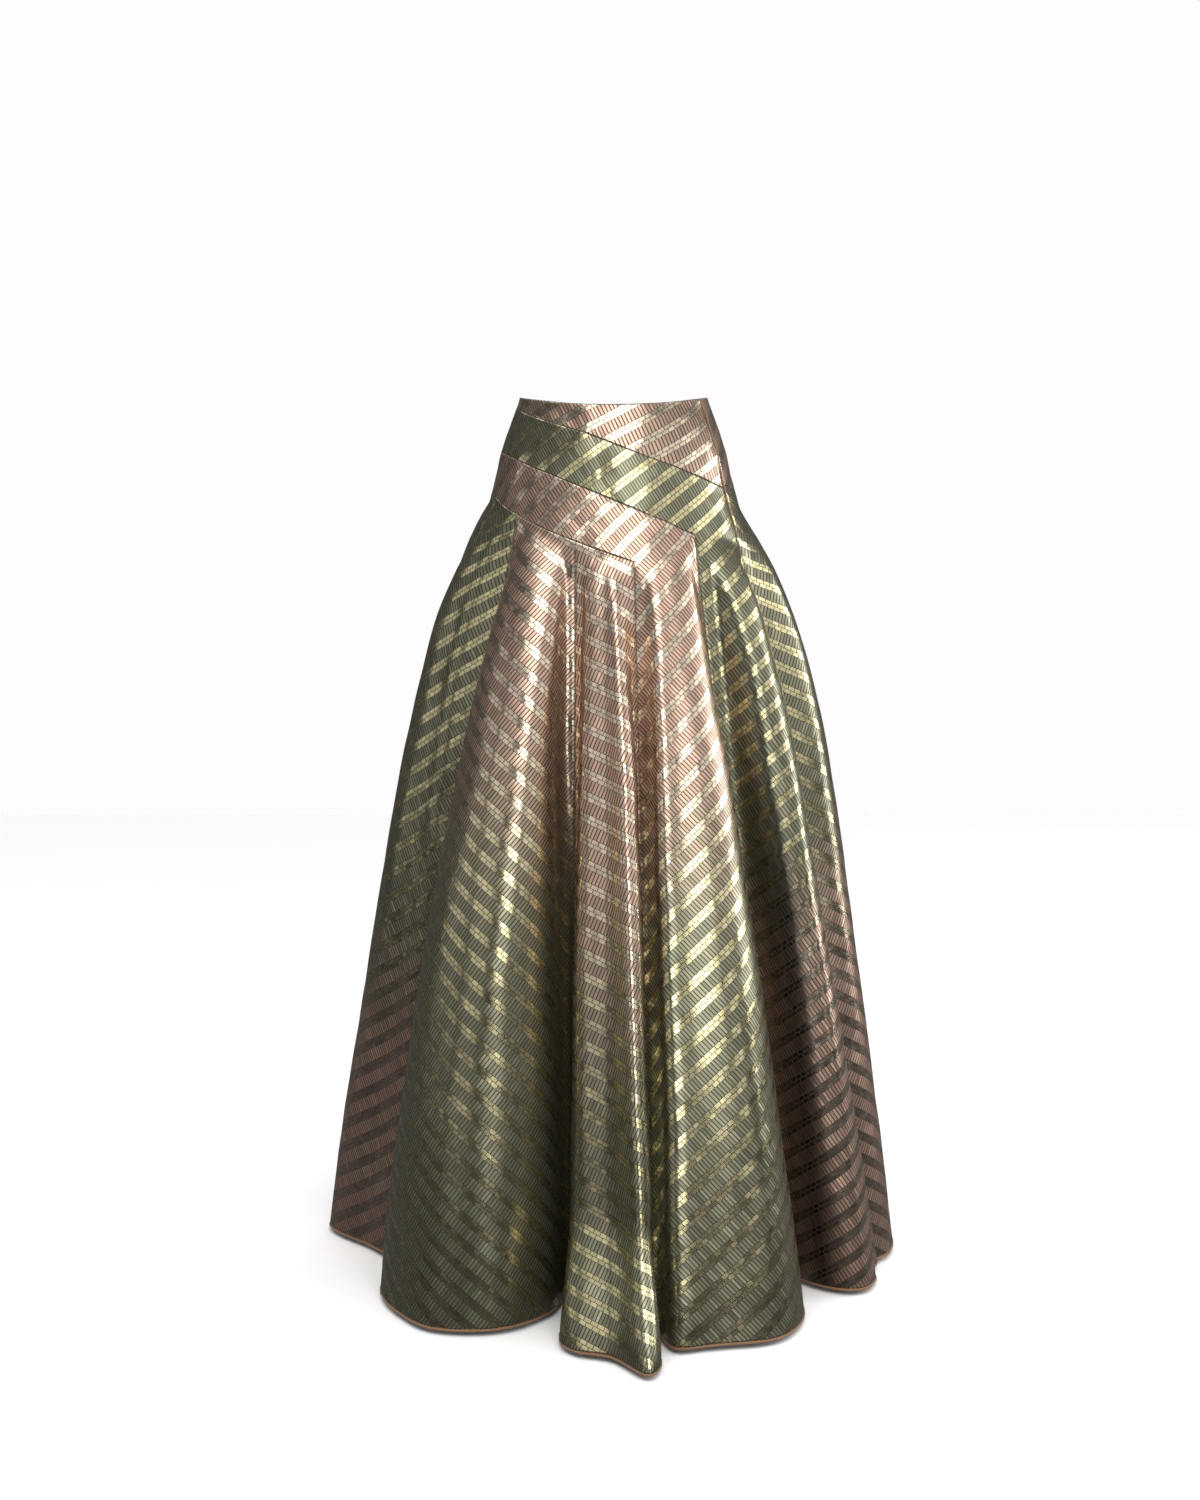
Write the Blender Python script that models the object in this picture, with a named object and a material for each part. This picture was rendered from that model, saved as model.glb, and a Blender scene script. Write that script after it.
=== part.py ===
"""Lehenga skirt: a full-length flared skirt of ten bias-cut panels under a yoke of diagonal bands.

Metres, +Z up. The origin is the centre of the waist, at the height where the wearer's waist holds the
skirt. The skirt's back faces -Y and its front +Y. Angles go round from the back centre, positive
towards +X, which is the side with the zip opening.

The whole garment is one surface, given by a place around it and a height. Around runs from 0 to 10:
panel k lies between k and k + 1, and whole numbers are the panel seams. Each sewn piece is a stretch
of that surface, given its wall thickness and parted from its neighbours by a seam gap.
"""

import math
from typing import NamedTuple

import bmesh
import bpy
from mathutils import Vector

PANEL_COUNT = 10
WALL = 0.0022
SEAM_GAP = 0.00036

WAIST_TOP_AT_SIDES = 0.008
WAIST_TOP_AT_BACK = 0.0
HEM_HEIGHT = -1.079
BINDING_HEIGHT = 0.0045
BINDING_WALL = 0.0024
ZIP_SEAM = 5
ZIP_BOTTOM = -0.162
ZIP_EDGE_WIDTH = 0.0030
ZIP_EDGE_WALL = 0.0014
LEFT_SIDE_DEG = -89.0

FOLD_START_BELOW_SEAM = 0.008
SPRING_REACH = 0.10
FLARE_START = 0.84

BODY_DEPTH_TO_WIDTH = 0.80

VALLEY_HALF_WIDTH = 0.009
VALLEY_RISE = 0.007

PANEL_COLUMNS = 16
YOKE_COLUMNS = 8
BAND_ROWS = 2
PANEL_ROW_SHARES = (0.06, 0.15, 0.26, 0.40, 0.56, 0.73, 0.88, 1.0)

ROSE = (0.46, 0.27, 0.20, 1.0)
GREEN = (0.16, 0.18, 0.09, 1.0)
TAN = (0.42, 0.22, 0.11, 1.0)


class BodyLevel(NamedTuple):
    """Half the width of the figure under the yoke at one height."""

    height: float
    half_width: float


BODY = (
    BodyLevel(0.010, 0.1150),
    BodyLevel(0.000, 0.1175),
    BodyLevel(-0.030, 0.1290),
    BodyLevel(-0.060, 0.1385),
    BodyLevel(-0.090, 0.1450),
    BodyLevel(-0.120, 0.1530),
    BodyLevel(-0.155, 0.1640),
    BodyLevel(-0.190, 0.1750),
    BodyLevel(-0.230, 0.1850),
)


class Panel(NamedTuple):
    """One panel and the seam at its left edge.

    seam_top and seam_hem are the seam's angles at the yoke and the hem, in degrees, and seam_out is its
    distance from the middle at the hem. panel_top is the height of the panel's top edge at that seam.
    fold holds five points of the panel's hem from left to right, each (degrees, metres out).
    seam_spring and spring say how far the seam and the panel's middle swing out just under the yoke,
    belly how far they stand out at mid-height, and flare how far the last of the hem kicks out.
    """

    name: str
    seam_top: float
    seam_hem: float
    seam_out: float
    panel_top: float
    seam_spring: float
    spring: float
    belly: float
    flare: float
    fold: tuple


PANELS = (
    Panel("panel_left_side", -72, -111, 0.345, -0.113, 0.26, 0.28, 0.03, 0.0,
          ((-107, 0.378), (-102, 0.384), (-96, 0.356), (-90, 0.318), (-82, 0.288))),
    Panel("panel_back_left", -48, -76.5, 0.256, -0.132, 0.05, 0.10, 0.10, 0.0,
          ((-65, 0.314), (-50, 0.351), (-36, 0.366), (-25.5, 0.333), (-17.5, 0.264))),
    Panel("panel_back_centre", -16, -15, 0.188, -0.162, 0.0, 0.06, 0.03, 0.15,
          ((-11, 0.290), (-7.5, 0.322), (-0.5, 0.336), (5.0, 0.385), (7.6, 0.345))),
    Panel("panel_rose_band", 8, 7.8, 0.318, -0.186, 0.0, 0.08, 0.04, 0.0,
          ((11, 0.368), (19, 0.369), (30, 0.380), (38, 0.358), (47, 0.310))),
    Panel("panel_green_band", 36, 62, 0.236, -0.155, 0.0, 0.18, 0.04, 0.0,
          ((59.5, 0.284), (59, 0.325), (62, 0.350), (68, 0.352), (74, 0.341))),
    Panel("panel_right_side", 65, 79.5, 0.336, -0.098, 0.06, 0.29, 0.04, 0.0,
          ((85, 0.354), (95, 0.364), (104, 0.352), (111, 0.315), (115, 0.280))),
    Panel("panel_front_right", 112, 117, 0.246, -0.104, 0.05, 0.24, 0.04, 0.0,
          ((120, 0.300), (127, 0.358), (137, 0.376), (146, 0.346), (151, 0.290))),
    Panel("panel_front_centre", 156, 153, 0.240, -0.108, 0.0, 0.18, 0.04, 0.0,
          ((156, 0.300), (163, 0.364), (173, 0.384), (182, 0.352), (187, 0.290))),
    Panel("panel_front_left", 200, 190, 0.238, -0.110, 0.0, 0.20, 0.04, 0.0,
          ((193, 0.300), (200, 0.358), (209, 0.380), (218, 0.350), (223, 0.295))),
    Panel("panel_left_front", 244, 226, 0.250, -0.112, 0.05, 0.26, 0.04, 0.0,
          ((229, 0.300), (234, 0.345), (240, 0.366), (245, 0.358), (247, 0.348))),
)


class BandLine(NamedTuple):
    """A point on a yoke seam: how far round in degrees from the back centre, and its height."""

    degrees: float
    height: float


# The seam between the rose wedge and the green band, from the left side to the zip
WEDGE_SEAM = (
    BandLine(-92, 0.0035),
    BandLine(-72, -0.0070),
    BandLine(-40, -0.0200),
    BandLine(-15, -0.0340),
    BandLine(8, -0.0540),
    BandLine(30, -0.0735),
    BandLine(48, -0.0890),
    BandLine(65, -0.1010),
)
# The seam between the green band and the rose band, from the front to the corner of the fold
BAND_SEAM = (
    BandLine(-176, 0.0035),
    BandLine(-130, -0.0270),
    BandLine(-92, -0.0540),
    BandLine(-62, -0.0640),
    BandLine(-32, -0.0830),
    BandLine(-12, -0.1010),
    BandLine(8, -0.1220),
    BandLine(24, -0.1400),
    BandLine(36, -0.1550),
)


def smooth(share):
    share = min(1.0, max(0.0, share))
    return share * share * (3.0 - 2.0 * share)


def spline_value(before, start, end, after, share):
    """A cubic through start and end, whose slopes follow their neighbours."""
    slope_start = (end - before) / 2.0
    slope_end = (after - start) / 2.0
    square = share * share
    cube = square * share
    return (
        (2 * cube - 3 * square + 1) * start
        + (cube - 2 * square + share) * slope_start
        + (3 * square - 2 * cube) * end
        + (cube - square) * slope_end
    )


def along_line(line, degrees):
    """The height of a yoke seam at an angle, on a smooth curve through its points."""
    for i in range(len(line) - 1):
        if degrees <= line[i + 1].degrees or i == len(line) - 2:
            break
    share = (degrees - line[i].degrees) / (line[i + 1].degrees - line[i].degrees)
    share = min(1.0, max(0.0, share))
    before = line[max(i - 1, 0)].height
    after = line[min(i + 2, len(line) - 1)].height
    return spline_value(before, line[i].height, line[i + 1].height, after, share)


def body_half_width(height):
    for upper, lower in zip(BODY, BODY[1:]):
        if height >= lower.height:
            break
    share = (upper.height - height) / (upper.height - lower.height)
    share = min(1.0, max(0.0, share))
    return upper.half_width + (lower.half_width - upper.half_width) * share


def body_point(degrees, height):
    angle = math.radians(degrees)
    width = body_half_width(height)
    return width * math.sin(angle), -width * BODY_DEPTH_TO_WIDTH * math.cos(angle)


def waist_top(degrees):
    side = math.sin(math.radians(degrees)) ** 2
    return WAIST_TOP_AT_BACK + (WAIST_TOP_AT_SIDES - WAIST_TOP_AT_BACK) * side


def panel_at(around):
    """(panel number, share of the way across it, whole turns) of a place around the skirt."""
    number = math.floor(around + 1e-9)
    turns, index = divmod(number, PANEL_COUNT)
    return index, around - number, turns


def seam_value(around, field):
    """A value that each panel gives at its seam, eased from one seam to the next."""
    index, share, _ = panel_at(around)
    start = getattr(PANELS[index], field)
    end = getattr(PANELS[(index + 1) % PANEL_COUNT], field)
    return start + (end - start) * share


def yoke_degrees(around):
    index, share, turns = panel_at(around)
    start = PANELS[index].seam_top
    if index + 1 < PANEL_COUNT:
        end = PANELS[index + 1].seam_top
    else:
        end = PANELS[0].seam_top + 360
    return start + (end - start) * share + 360 * turns


def around_at(degrees):
    """The place around the skirt that lies at an angle on the yoke."""
    for index in range(-PANEL_COUNT, PANEL_COUNT):
        start, end = yoke_degrees(index), yoke_degrees(index + 1)
        if start <= degrees <= end:
            return index + (degrees - start) / (end - start)
    raise ValueError("that angle is not on the yoke")


def panel_top(around):
    return seam_value(around, "panel_top")


def fold_start(around):
    """The height at which the folds begin: a little under the panels' top edge, and lower at the zip."""
    index, share, _ = panel_at(around)
    start = panel_top(around) - FOLD_START_BELOW_SEAM
    if index == ZIP_SEAM:
        green_corner = PANELS[ZIP_SEAM - 1].panel_top - FOLD_START_BELOW_SEAM
        return green_corner + (start - green_corner) * smooth(share)
    if index == ZIP_SEAM - 1:
        return PANELS[index].panel_top - FOLD_START_BELOW_SEAM
    return start


def hem_controls():
    """Points of the hem's plan, from seam to seam, with a rounded valley floor beside each seam."""
    points = []
    for index, panel in enumerate(PANELS):
        following = PANELS[(index + 1) % PANEL_COUNT]
        points.append(valley_point(panel, 0))
        points.append(valley_point(panel, 1))
        for degrees, out in panel.fold:
            angle = math.radians(degrees)
            points.append(Vector((out * math.sin(angle), -out * math.cos(angle))))
        points.append(valley_point(following, -1))
    return points


def valley_point(panel, side):
    """The seam at the hem (side 0), or the valley floor to its left (-1) or right (1)."""
    angle = math.radians(panel.seam_hem)
    outward = Vector((math.sin(angle), -math.cos(angle)))
    across = Vector((math.cos(angle), math.sin(angle)))
    out = panel.seam_out + VALLEY_RISE * abs(side)
    return outward * out + across * (VALLEY_HALF_WIDTH * side)


HEM_CONTROLS = hem_controls()
POINTS_A_PANEL = len(HEM_CONTROLS) // PANEL_COUNT


def blend(a, b, low, high, knot):
    return a * ((high - knot) / (high - low)) + b * ((knot - low) / (high - low))


def hem_point(around):
    """The plan of the hem: a centripetal spline through the fold points, so that no fold loops."""
    place = (around % PANEL_COUNT) * POINTS_A_PANEL
    first = math.floor(place)
    a, b, c, d = (HEM_CONTROLS[(first + step) % len(HEM_CONTROLS)] for step in (-1, 0, 1, 2))
    knot_a = 0.0
    knot_b = knot_a + math.sqrt((b - a).length)
    knot_c = knot_b + math.sqrt((c - b).length)
    knot_d = knot_c + math.sqrt((d - c).length)
    knot = knot_b + (place - first) * (knot_c - knot_b)
    ab = blend(a, b, knot_a, knot_b, knot)
    bc = blend(b, c, knot_b, knot_c, knot)
    cd = blend(c, d, knot_c, knot_d, knot)
    return blend(blend(ab, bc, knot_a, knot_c, knot), blend(bc, cd, knot_b, knot_d, knot), knot_b, knot_c, knot)


def spring_at(around):
    """(spring, belly, flare) of the cloth there, from the seam's values to the panel's own."""
    index, share, _ = panel_at(around)
    panel = PANELS[index]
    middle = smooth(min(share, 1.0 - share) * 3.2)
    seam = seam_value(around, "seam_spring")
    spring = seam + (panel.spring - seam) * middle
    return spring, panel.belly * middle, panel.flare * math.sqrt(middle)


def surface(around, height):
    """The middle of the cloth at a place around and a height."""
    start = fold_start(around)
    degrees = yoke_degrees(around)
    if height >= start:
        x, y = body_point(degrees, height)
        return Vector((x, y, height))
    top = Vector(body_point(degrees, start))
    down = (start - height) / (start - HEM_HEIGHT)
    spring, belly, flare = spring_at(around)
    swing = (1.0 - math.exp(-down / SPRING_REACH)) * (1.0 - down)
    out = down + spring * swing + belly * 4.0 * down * (1.0 - down)
    plan = top + (hem_point(around) - top) * out
    plan *= 1.0 + flare * smooth((down - FLARE_START) / (1.0 - FLARE_START)) 
    return Vector((plan.x, plan.y, height))


def frame_at(around, height):
    """The middle of the cloth and its outward normal."""
    step_round, step_down = 0.02, 0.003
    across = surface(around + step_round, height) - surface(around - step_round, height)
    down = surface(around, height - step_down) - surface(around, height + step_down)
    return surface(around, height), down.cross(across).normalized()


def inward_shift(edges_in, half_gap):
    """How far a boundary point moves so that the one or two edges there draw in by half the gap."""
    total = Vector((0.0, 0.0, 0.0))
    for direction in edges_in:
        total += direction
    if total.length < 0.2:
        return Vector((0.0, 0.0, 0.0))
    reach = total.dot(edges_in[0]) / total.length
    return total.normalized() * min(half_gap / max(reach, 0.3), 2.5 * half_gap)


class Sheet:
    """A stretch of the garment's surface as a set of places and four-sided or three-sided faces."""

    def __init__(self):
        self.places = []
        self.faces = []
        self.known = {}

    def add(self, around, height):
        key = (round(around, 5), round(height, 6))
        if key not in self.known:
            self.known[key] = len(self.places)
            self.places.append((around, height))
        return self.known[key]

    def add_face(self, corners):
        corners = list(dict.fromkeys(corners))
        if len(corners) > 2:
            self.faces.append(corners)

    def grid(self, columns, heights_at):
        """Faces between places around and each place's heights, top first."""
        index = [[self.add(column, height) for height in heights_at(column)] for column in columns]
        for left, right in zip(index, index[1:]):
            for j in range(len(left) - 1):
                self.add_face((left[j], left[j + 1], right[j + 1], right[j]))

    def rim_edges(self):
        """The directed edges that only one face has."""
        edges = set()
        for face in self.faces:
            for a, b in zip(face, face[1:] + face[:1]):
                if (b, a) in edges:
                    edges.remove((b, a))
                else:
                    edges.add((a, b))
        return sorted(edges)

    def build(self, name, material, wall, out=0.0):
        """The closed wall: outer and inner points along the normals, and a rim round the open edges."""
        frames = [frame_at(*place) for place in self.places]
        rim = self.rim_edges()
        inward = {}
        for a, b in rim:
            along = (frames[b][0] - frames[a][0]).normalized()
            for end in (a, b):
                inward.setdefault(end, []).append(frames[end][1].cross(along).normalized())
        shape = bmesh.new()
        outer, inner = [], []
        for i, (point, normal) in enumerate(frames):
            if i in inward:
                point = point + inward_shift(inward[i], SEAM_GAP / 2)
            outer.append(shape.verts.new(point + normal * (out + wall / 2)))
            inner.append(shape.verts.new(point + normal * (out - wall / 2)))
        for face in self.faces:
            shape.faces.new([outer[i] for i in face])
            shape.faces.new([inner[i] for i in reversed(face)])
        for a, b in rim:
            shape.faces.new((outer[b], outer[a], inner[a], inner[b]))
        bmesh.ops.recalc_face_normals(shape, faces=shape.faces)
        bmesh.ops.triangulate(shape, faces=shape.faces, quad_method="SHORT_EDGE")
        mesh = bpy.data.meshes.new(name)
        shape.to_mesh(mesh)
        shape.free()
        mesh.materials.append(material)
        mesh.shade_smooth()
        mesh.set_sharp_from_angle(angle=math.radians(50))
        piece = bpy.data.objects.new(name, mesh)
        GARMENT.objects.link(piece)
        return piece


def finish(name, colour, roughness, metallic):
    material = bpy.data.materials.new(name)
    material.use_nodes = True
    shader = material.node_tree.nodes["Principled BSDF"]
    shader.inputs["Base Color"].default_value = colour
    shader.inputs["Roughness"].default_value = roughness
    shader.inputs["Metallic"].default_value = metallic
    material.diffuse_color = colour
    return material


def spread_places(start, end, columns):
    """Places around from start to end, at a number of columns a panel and at both ends."""
    first, last = math.floor(start * columns) + 1, math.ceil(end * columns) - 1
    margin = 0.2 / columns
    inner = [i / columns for i in range(first, last + 1)]
    inner = [place for place in inner if place - start > margin and end - place > margin]
    return [start, *inner, end]


def evenly(top, bottom, rows):
    return [top + (bottom - top) * row / rows for row in range(rows + 1)]


def panel_heights(around):
    """Heights down a panel from its top edge to just above the hem binding."""
    start = fold_start(around)
    bottom = HEM_HEIGHT + BINDING_HEIGHT
    return [panel_top(around), start, *(start + (bottom - start) * share for share in PANEL_ROW_SHARES)]


def make_panels(rose, green):
    materials = {0: green, 1: rose, 2: rose, 5: green, 6: rose, 7: rose, 8: rose, 9: green}
    for index, material in materials.items():
        sheet = Sheet()
        sheet.grid(spread_places(index, index + 1, PANEL_COLUMNS), panel_heights)
        sheet.build(PANELS[index].name, material, WALL)


def wedge_line(around):
    return along_line(WEDGE_SEAM, yoke_degrees(around))


def band_line(around):
    """The seam under the green band, which runs out into the waist edge at its far end."""
    degrees = yoke_degrees(around)
    return min(along_line(BAND_SEAM, degrees), waist_top(degrees))


def make_banded_panel(name, index, material, start, upper, lower):
    """A yoke band that sweeps down into a panel, cut in one piece with it."""

    def band_heights(around):
        return evenly(upper(around), lower(around), BAND_ROWS)

    def whole_heights(around):
        across = around - index
        band_bottom = fold_start(around) + FOLD_START_BELOW_SEAM * (1.0 - across)
        return evenly(upper(around), band_bottom, BAND_ROWS) + panel_heights(around)[1:]

    sheet = Sheet()
    sheet.grid(spread_places(start, index, YOKE_COLUMNS), band_heights)
    sheet.grid(spread_places(index, index + 1, PANEL_COLUMNS), whole_heights)
    sheet.build(name, material, WALL)


def make_yoke(rose, green):
    left = around_at(LEFT_SIDE_DEG)
    front_zip = ZIP_SEAM - PANEL_COUNT
    green_tip = around_at(BAND_SEAM[0].degrees)

    def top_edge(around):
        return waist_top(yoke_degrees(around))

    def make_band(name, material, stretches):
        sheet = Sheet()
        for start, end, upper, lower in stretches:
            places = spread_places(start, end, YOKE_COLUMNS)
            sheet.grid(places, lambda place: evenly(upper(place), lower(place), BAND_ROWS))
        sheet.build(name, material, WALL)

    make_band("yoke_wedge_back", rose, [(left, ZIP_SEAM, top_edge, wedge_line)])
    make_band("yoke_green_front", green, [(green_tip, left, top_edge, band_line)])
    make_band("yoke_rose_front", rose, [
        (front_zip, green_tip, top_edge, panel_top),
        (green_tip, left, band_line, panel_top),
    ])
    make_banded_panel("rose_band_and_panel", 3, rose, left, band_line, panel_top)
    make_banded_panel("green_band_and_panel", 4, green, left, wedge_line, band_line)


def make_hem_binding(tan):
    sheet = Sheet()
    places = [i / PANEL_COLUMNS for i in range(PANEL_COUNT * PANEL_COLUMNS)]
    index = [[sheet.add(place, height) for height in (HEM_HEIGHT + BINDING_HEIGHT, HEM_HEIGHT)] for place in places]
    for left, right in zip(index, index[1:] + index[:1]):
        sheet.add_face((left[0], left[1], right[1], right[0]))
    sheet.build("hem_binding", tan, BINDING_WALL)


def make_zip_edge(tan):
    """The narrow tan edge of the zip opening, lying over the side seam."""
    width_in_places = ZIP_EDGE_WIDTH / 0.12
    top = waist_top(yoke_degrees(ZIP_SEAM)) - 0.002
    sheet = Sheet()
    columns = [ZIP_SEAM - width_in_places / 2, ZIP_SEAM + width_in_places / 2]
    sheet.grid(columns, lambda _: evenly(top, ZIP_BOTTOM, 10))
    sheet.build("zip_edge", tan, ZIP_EDGE_WALL, out=WALL / 2 + ZIP_EDGE_WALL / 2 + 2 * SEAM_GAP)


for old in list(bpy.data.objects):
    bpy.data.objects.remove(old, do_unlink=True)
GARMENT = bpy.data.collections.new("lehenga_skirt")
bpy.context.scene.collection.children.link(GARMENT)

rose_cloth = finish("rose_cloth", ROSE, 0.38, 0.7)
green_cloth = finish("green_cloth", GREEN, 0.38, 0.7)
tan_binding = finish("tan_binding", TAN, 0.6, 0.0)

make_panels(rose_cloth, green_cloth)
make_yoke(rose_cloth, green_cloth)
make_hem_binding(tan_binding)
make_zip_edge(tan_binding)
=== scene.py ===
"""Lehenga skirt, dressed: bias-cut panels of metallic tile cloth under a yoke of diagonal bands.

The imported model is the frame. Every sewn piece is built again here as a thin, finely folded cloth with
its tiles, seams and creases, in the same place as the plain solid that it stands for.

Metres, +Z up. The skirt's back faces -Y, and the side with the zip is +X. A place around the skirt runs
from 0 to 10: panel k lies between k and k + 1, and whole numbers are the panel seams.
"""

import math
from typing import NamedTuple

import bmesh
import bpy
from bpy.props import FloatProperty, FloatVectorProperty, IntProperty, PointerProperty
from bpy.types import Operator, Panel, PropertyGroup
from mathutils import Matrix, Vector, noise


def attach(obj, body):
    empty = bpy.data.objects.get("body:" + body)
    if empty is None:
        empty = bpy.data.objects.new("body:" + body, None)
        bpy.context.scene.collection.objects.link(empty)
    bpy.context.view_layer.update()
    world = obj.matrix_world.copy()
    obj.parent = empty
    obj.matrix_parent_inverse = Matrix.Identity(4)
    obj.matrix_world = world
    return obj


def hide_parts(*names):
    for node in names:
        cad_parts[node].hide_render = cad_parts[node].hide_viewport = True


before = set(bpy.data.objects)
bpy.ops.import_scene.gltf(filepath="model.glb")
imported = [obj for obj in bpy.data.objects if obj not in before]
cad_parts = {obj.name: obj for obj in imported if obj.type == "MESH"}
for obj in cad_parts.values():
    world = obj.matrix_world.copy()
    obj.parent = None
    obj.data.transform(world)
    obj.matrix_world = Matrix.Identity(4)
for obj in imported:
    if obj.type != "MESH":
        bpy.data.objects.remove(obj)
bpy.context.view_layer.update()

bl_info = {
    "name": "Lehenga Skirt",
    "version": (1, 0, 0),
    "blender": (4, 5, 0),
    "location": "View3D > Sidebar > Lehenga",
    "description": "Builds a full-length panelled skirt of metallic tile cloth, piece by piece",
    "category": "Add Mesh",
}

# Sizes shared with the plain solids
PANEL_COUNT = 10
SEAM_GAP = 0.00036
WAIST_TOP_AT_SIDES = 0.008
WAIST_TOP_AT_BACK = 0.0
HEM_HEIGHT = -1.079
TAPE_HEIGHT = 0.0032
ZIP_SEAM = 5
ZIP_BOTTOM = -0.162
ZIP_EDGE_WIDTH = 0.0030
LEFT_SIDE_DEG = -89.0
FOLD_START_BELOW_SEAM = 0.008
SPRING_REACH = 0.10
FLARE_START = 0.84
BODY_DEPTH_TO_WIDTH = 0.80
VALLEY_HALF_WIDTH = 0.009
VALLEY_RISE = 0.007
SWING_EASE = 3.2
STEP_ROUND = 0.02
STEP_DOWN = 0.003
STEP_UP = 0.002

# The photograph's view of the skirt
CAMERA_PLACE = (-0.0167, -3.10, 0.005)
CAMERA_DOWN_DEG = 8.014
CAMERA_LENS_MM = 59.66


class BodyLevel(NamedTuple):
    """Half the width of the waist and hips under the yoke at one height."""

    height: float
    half_width: float


BODY = (
    BodyLevel(0.010, 0.1150),
    BodyLevel(0.000, 0.1175),
    BodyLevel(-0.030, 0.1290),
    BodyLevel(-0.060, 0.1385),
    BodyLevel(-0.090, 0.1450),
    BodyLevel(-0.120, 0.1530),
    BodyLevel(-0.155, 0.1640),
    BodyLevel(-0.190, 0.1750),
    BodyLevel(-0.230, 0.1850),
)


class SkirtPanel(NamedTuple):
    """One panel and the seam at its left edge.

    seam_top and seam_hem are the seam's angles at the yoke and the hem, in degrees, and seam_out is its
    distance from the middle at the hem. panel_top is the height of the panel's top edge at that seam.
    fold holds five points of the panel's hem from left to right, each (degrees, metres out).
    seam_spring and spring say how far the seam and the panel's middle swing out just under the yoke,
    belly how far they stand out at mid-height, and flare how far the last of the hem kicks out.
    """

    name: str
    seam_top: float
    seam_hem: float
    seam_out: float
    panel_top: float
    seam_spring: float
    spring: float
    belly: float
    flare: float
    fold: tuple


PANELS = (
    SkirtPanel("panel_left_side", -72, -111, 0.345, -0.113, 0.26, 0.28, 0.03, 0.0,
               ((-107, 0.378), (-102, 0.384), (-96, 0.356), (-90, 0.318), (-82, 0.288))),
    SkirtPanel("panel_back_left", -48, -76.5, 0.256, -0.132, 0.05, 0.10, 0.10, 0.0,
               ((-65, 0.314), (-50, 0.351), (-36, 0.366), (-25.5, 0.333), (-17.5, 0.264))),
    SkirtPanel("panel_back_centre", -16, -15, 0.188, -0.162, 0.0, 0.06, 0.03, 0.15,
               ((-11, 0.290), (-7.5, 0.322), (-0.5, 0.336), (5.0, 0.385), (7.6, 0.345))),
    SkirtPanel("panel_rose_band", 8, 7.8, 0.318, -0.186, 0.0, 0.08, 0.04, 0.0,
               ((11, 0.368), (19, 0.369), (30, 0.380), (38, 0.358), (47, 0.310))),
    SkirtPanel("panel_green_band", 36, 62, 0.236, -0.155, 0.0, 0.18, 0.04, 0.0,
               ((59.5, 0.284), (59, 0.325), (62, 0.350), (68, 0.352), (74, 0.341))),
    SkirtPanel("panel_right_side", 65, 79.5, 0.336, -0.098, 0.06, 0.29, 0.04, 0.0,
               ((85, 0.354), (95, 0.364), (104, 0.352), (111, 0.315), (115, 0.280))),
    SkirtPanel("panel_front_right", 112, 117, 0.246, -0.104, 0.05, 0.24, 0.04, 0.0,
               ((120, 0.300), (127, 0.358), (137, 0.376), (146, 0.346), (151, 0.290))),
    SkirtPanel("panel_front_centre", 156, 153, 0.240, -0.108, 0.0, 0.18, 0.04, 0.0,
               ((156, 0.300), (163, 0.364), (173, 0.384), (182, 0.352), (187, 0.290))),
    SkirtPanel("panel_front_left", 200, 190, 0.238, -0.110, 0.0, 0.20, 0.04, 0.0,
               ((193, 0.300), (200, 0.358), (209, 0.380), (218, 0.350), (223, 0.295))),
    SkirtPanel("panel_left_front", 244, 226, 0.250, -0.112, 0.05, 0.26, 0.04, 0.0,
               ((229, 0.300), (234, 0.345), (240, 0.366), (245, 0.358), (247, 0.348))),
)


class BandLine(NamedTuple):
    """A point on a yoke seam: how far round in degrees from the back centre, and its height."""

    degrees: float
    height: float


# The seam between the rose wedge and the green band, from the left side to the zip
WEDGE_SEAM = (
    BandLine(-92, 0.0035),
    BandLine(-72, -0.0070),
    BandLine(-40, -0.0200),
    BandLine(-15, -0.0340),
    BandLine(8, -0.0540),
    BandLine(30, -0.0735),
    BandLine(48, -0.0890),
    BandLine(65, -0.1010),
)
# The seam between the green band and the rose band, from the front to the corner of the fold
BAND_SEAM = (
    BandLine(-176, 0.0035),
    BandLine(-130, -0.0270),
    BandLine(-92, -0.0540),
    BandLine(-62, -0.0640),
    BandLine(-32, -0.0830),
    BandLine(-12, -0.1010),
    BandLine(8, -0.1220),
    BandLine(24, -0.1400),
    BandLine(36, -0.1550),
)


def clamp(share):
    return min(1.0, max(0.0, share))


def smooth(share):
    share = clamp(share)
    return share * share * (3.0 - 2.0 * share)


def spline_value(before, start, end, after, share):
    """A cubic through start and end, whose slopes follow their neighbours."""
    slope_start = (end - before) / 2.0
    slope_end = (after - start) / 2.0
    square = share * share
    cube = square * share
    return (
        (2 * cube - 3 * square + 1) * start
        + (cube - 2 * square + share) * slope_start
        + (3 * square - 2 * cube) * end
        + (cube - square) * slope_end
    )


def along_line(line, degrees):
    """The height of a yoke seam at an angle, on a smooth curve through its points."""
    for i in range(len(line) - 1):
        if degrees <= line[i + 1].degrees or i == len(line) - 2:
            break
    share = clamp((degrees - line[i].degrees) / (line[i + 1].degrees - line[i].degrees))
    before = line[max(i - 1, 0)].height
    after = line[min(i + 2, len(line) - 1)].height
    return spline_value(before, line[i].height, line[i + 1].height, after, share)


def body_half_width(height):
    for upper, lower in zip(BODY, BODY[1:]):
        if height >= lower.height:
            break
    share = clamp((upper.height - height) / (upper.height - lower.height))
    return upper.half_width + (lower.half_width - upper.half_width) * share


def body_point(degrees, height):
    angle = math.radians(degrees)
    width = body_half_width(height)
    return width * math.sin(angle), -width * BODY_DEPTH_TO_WIDTH * math.cos(angle)


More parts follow.
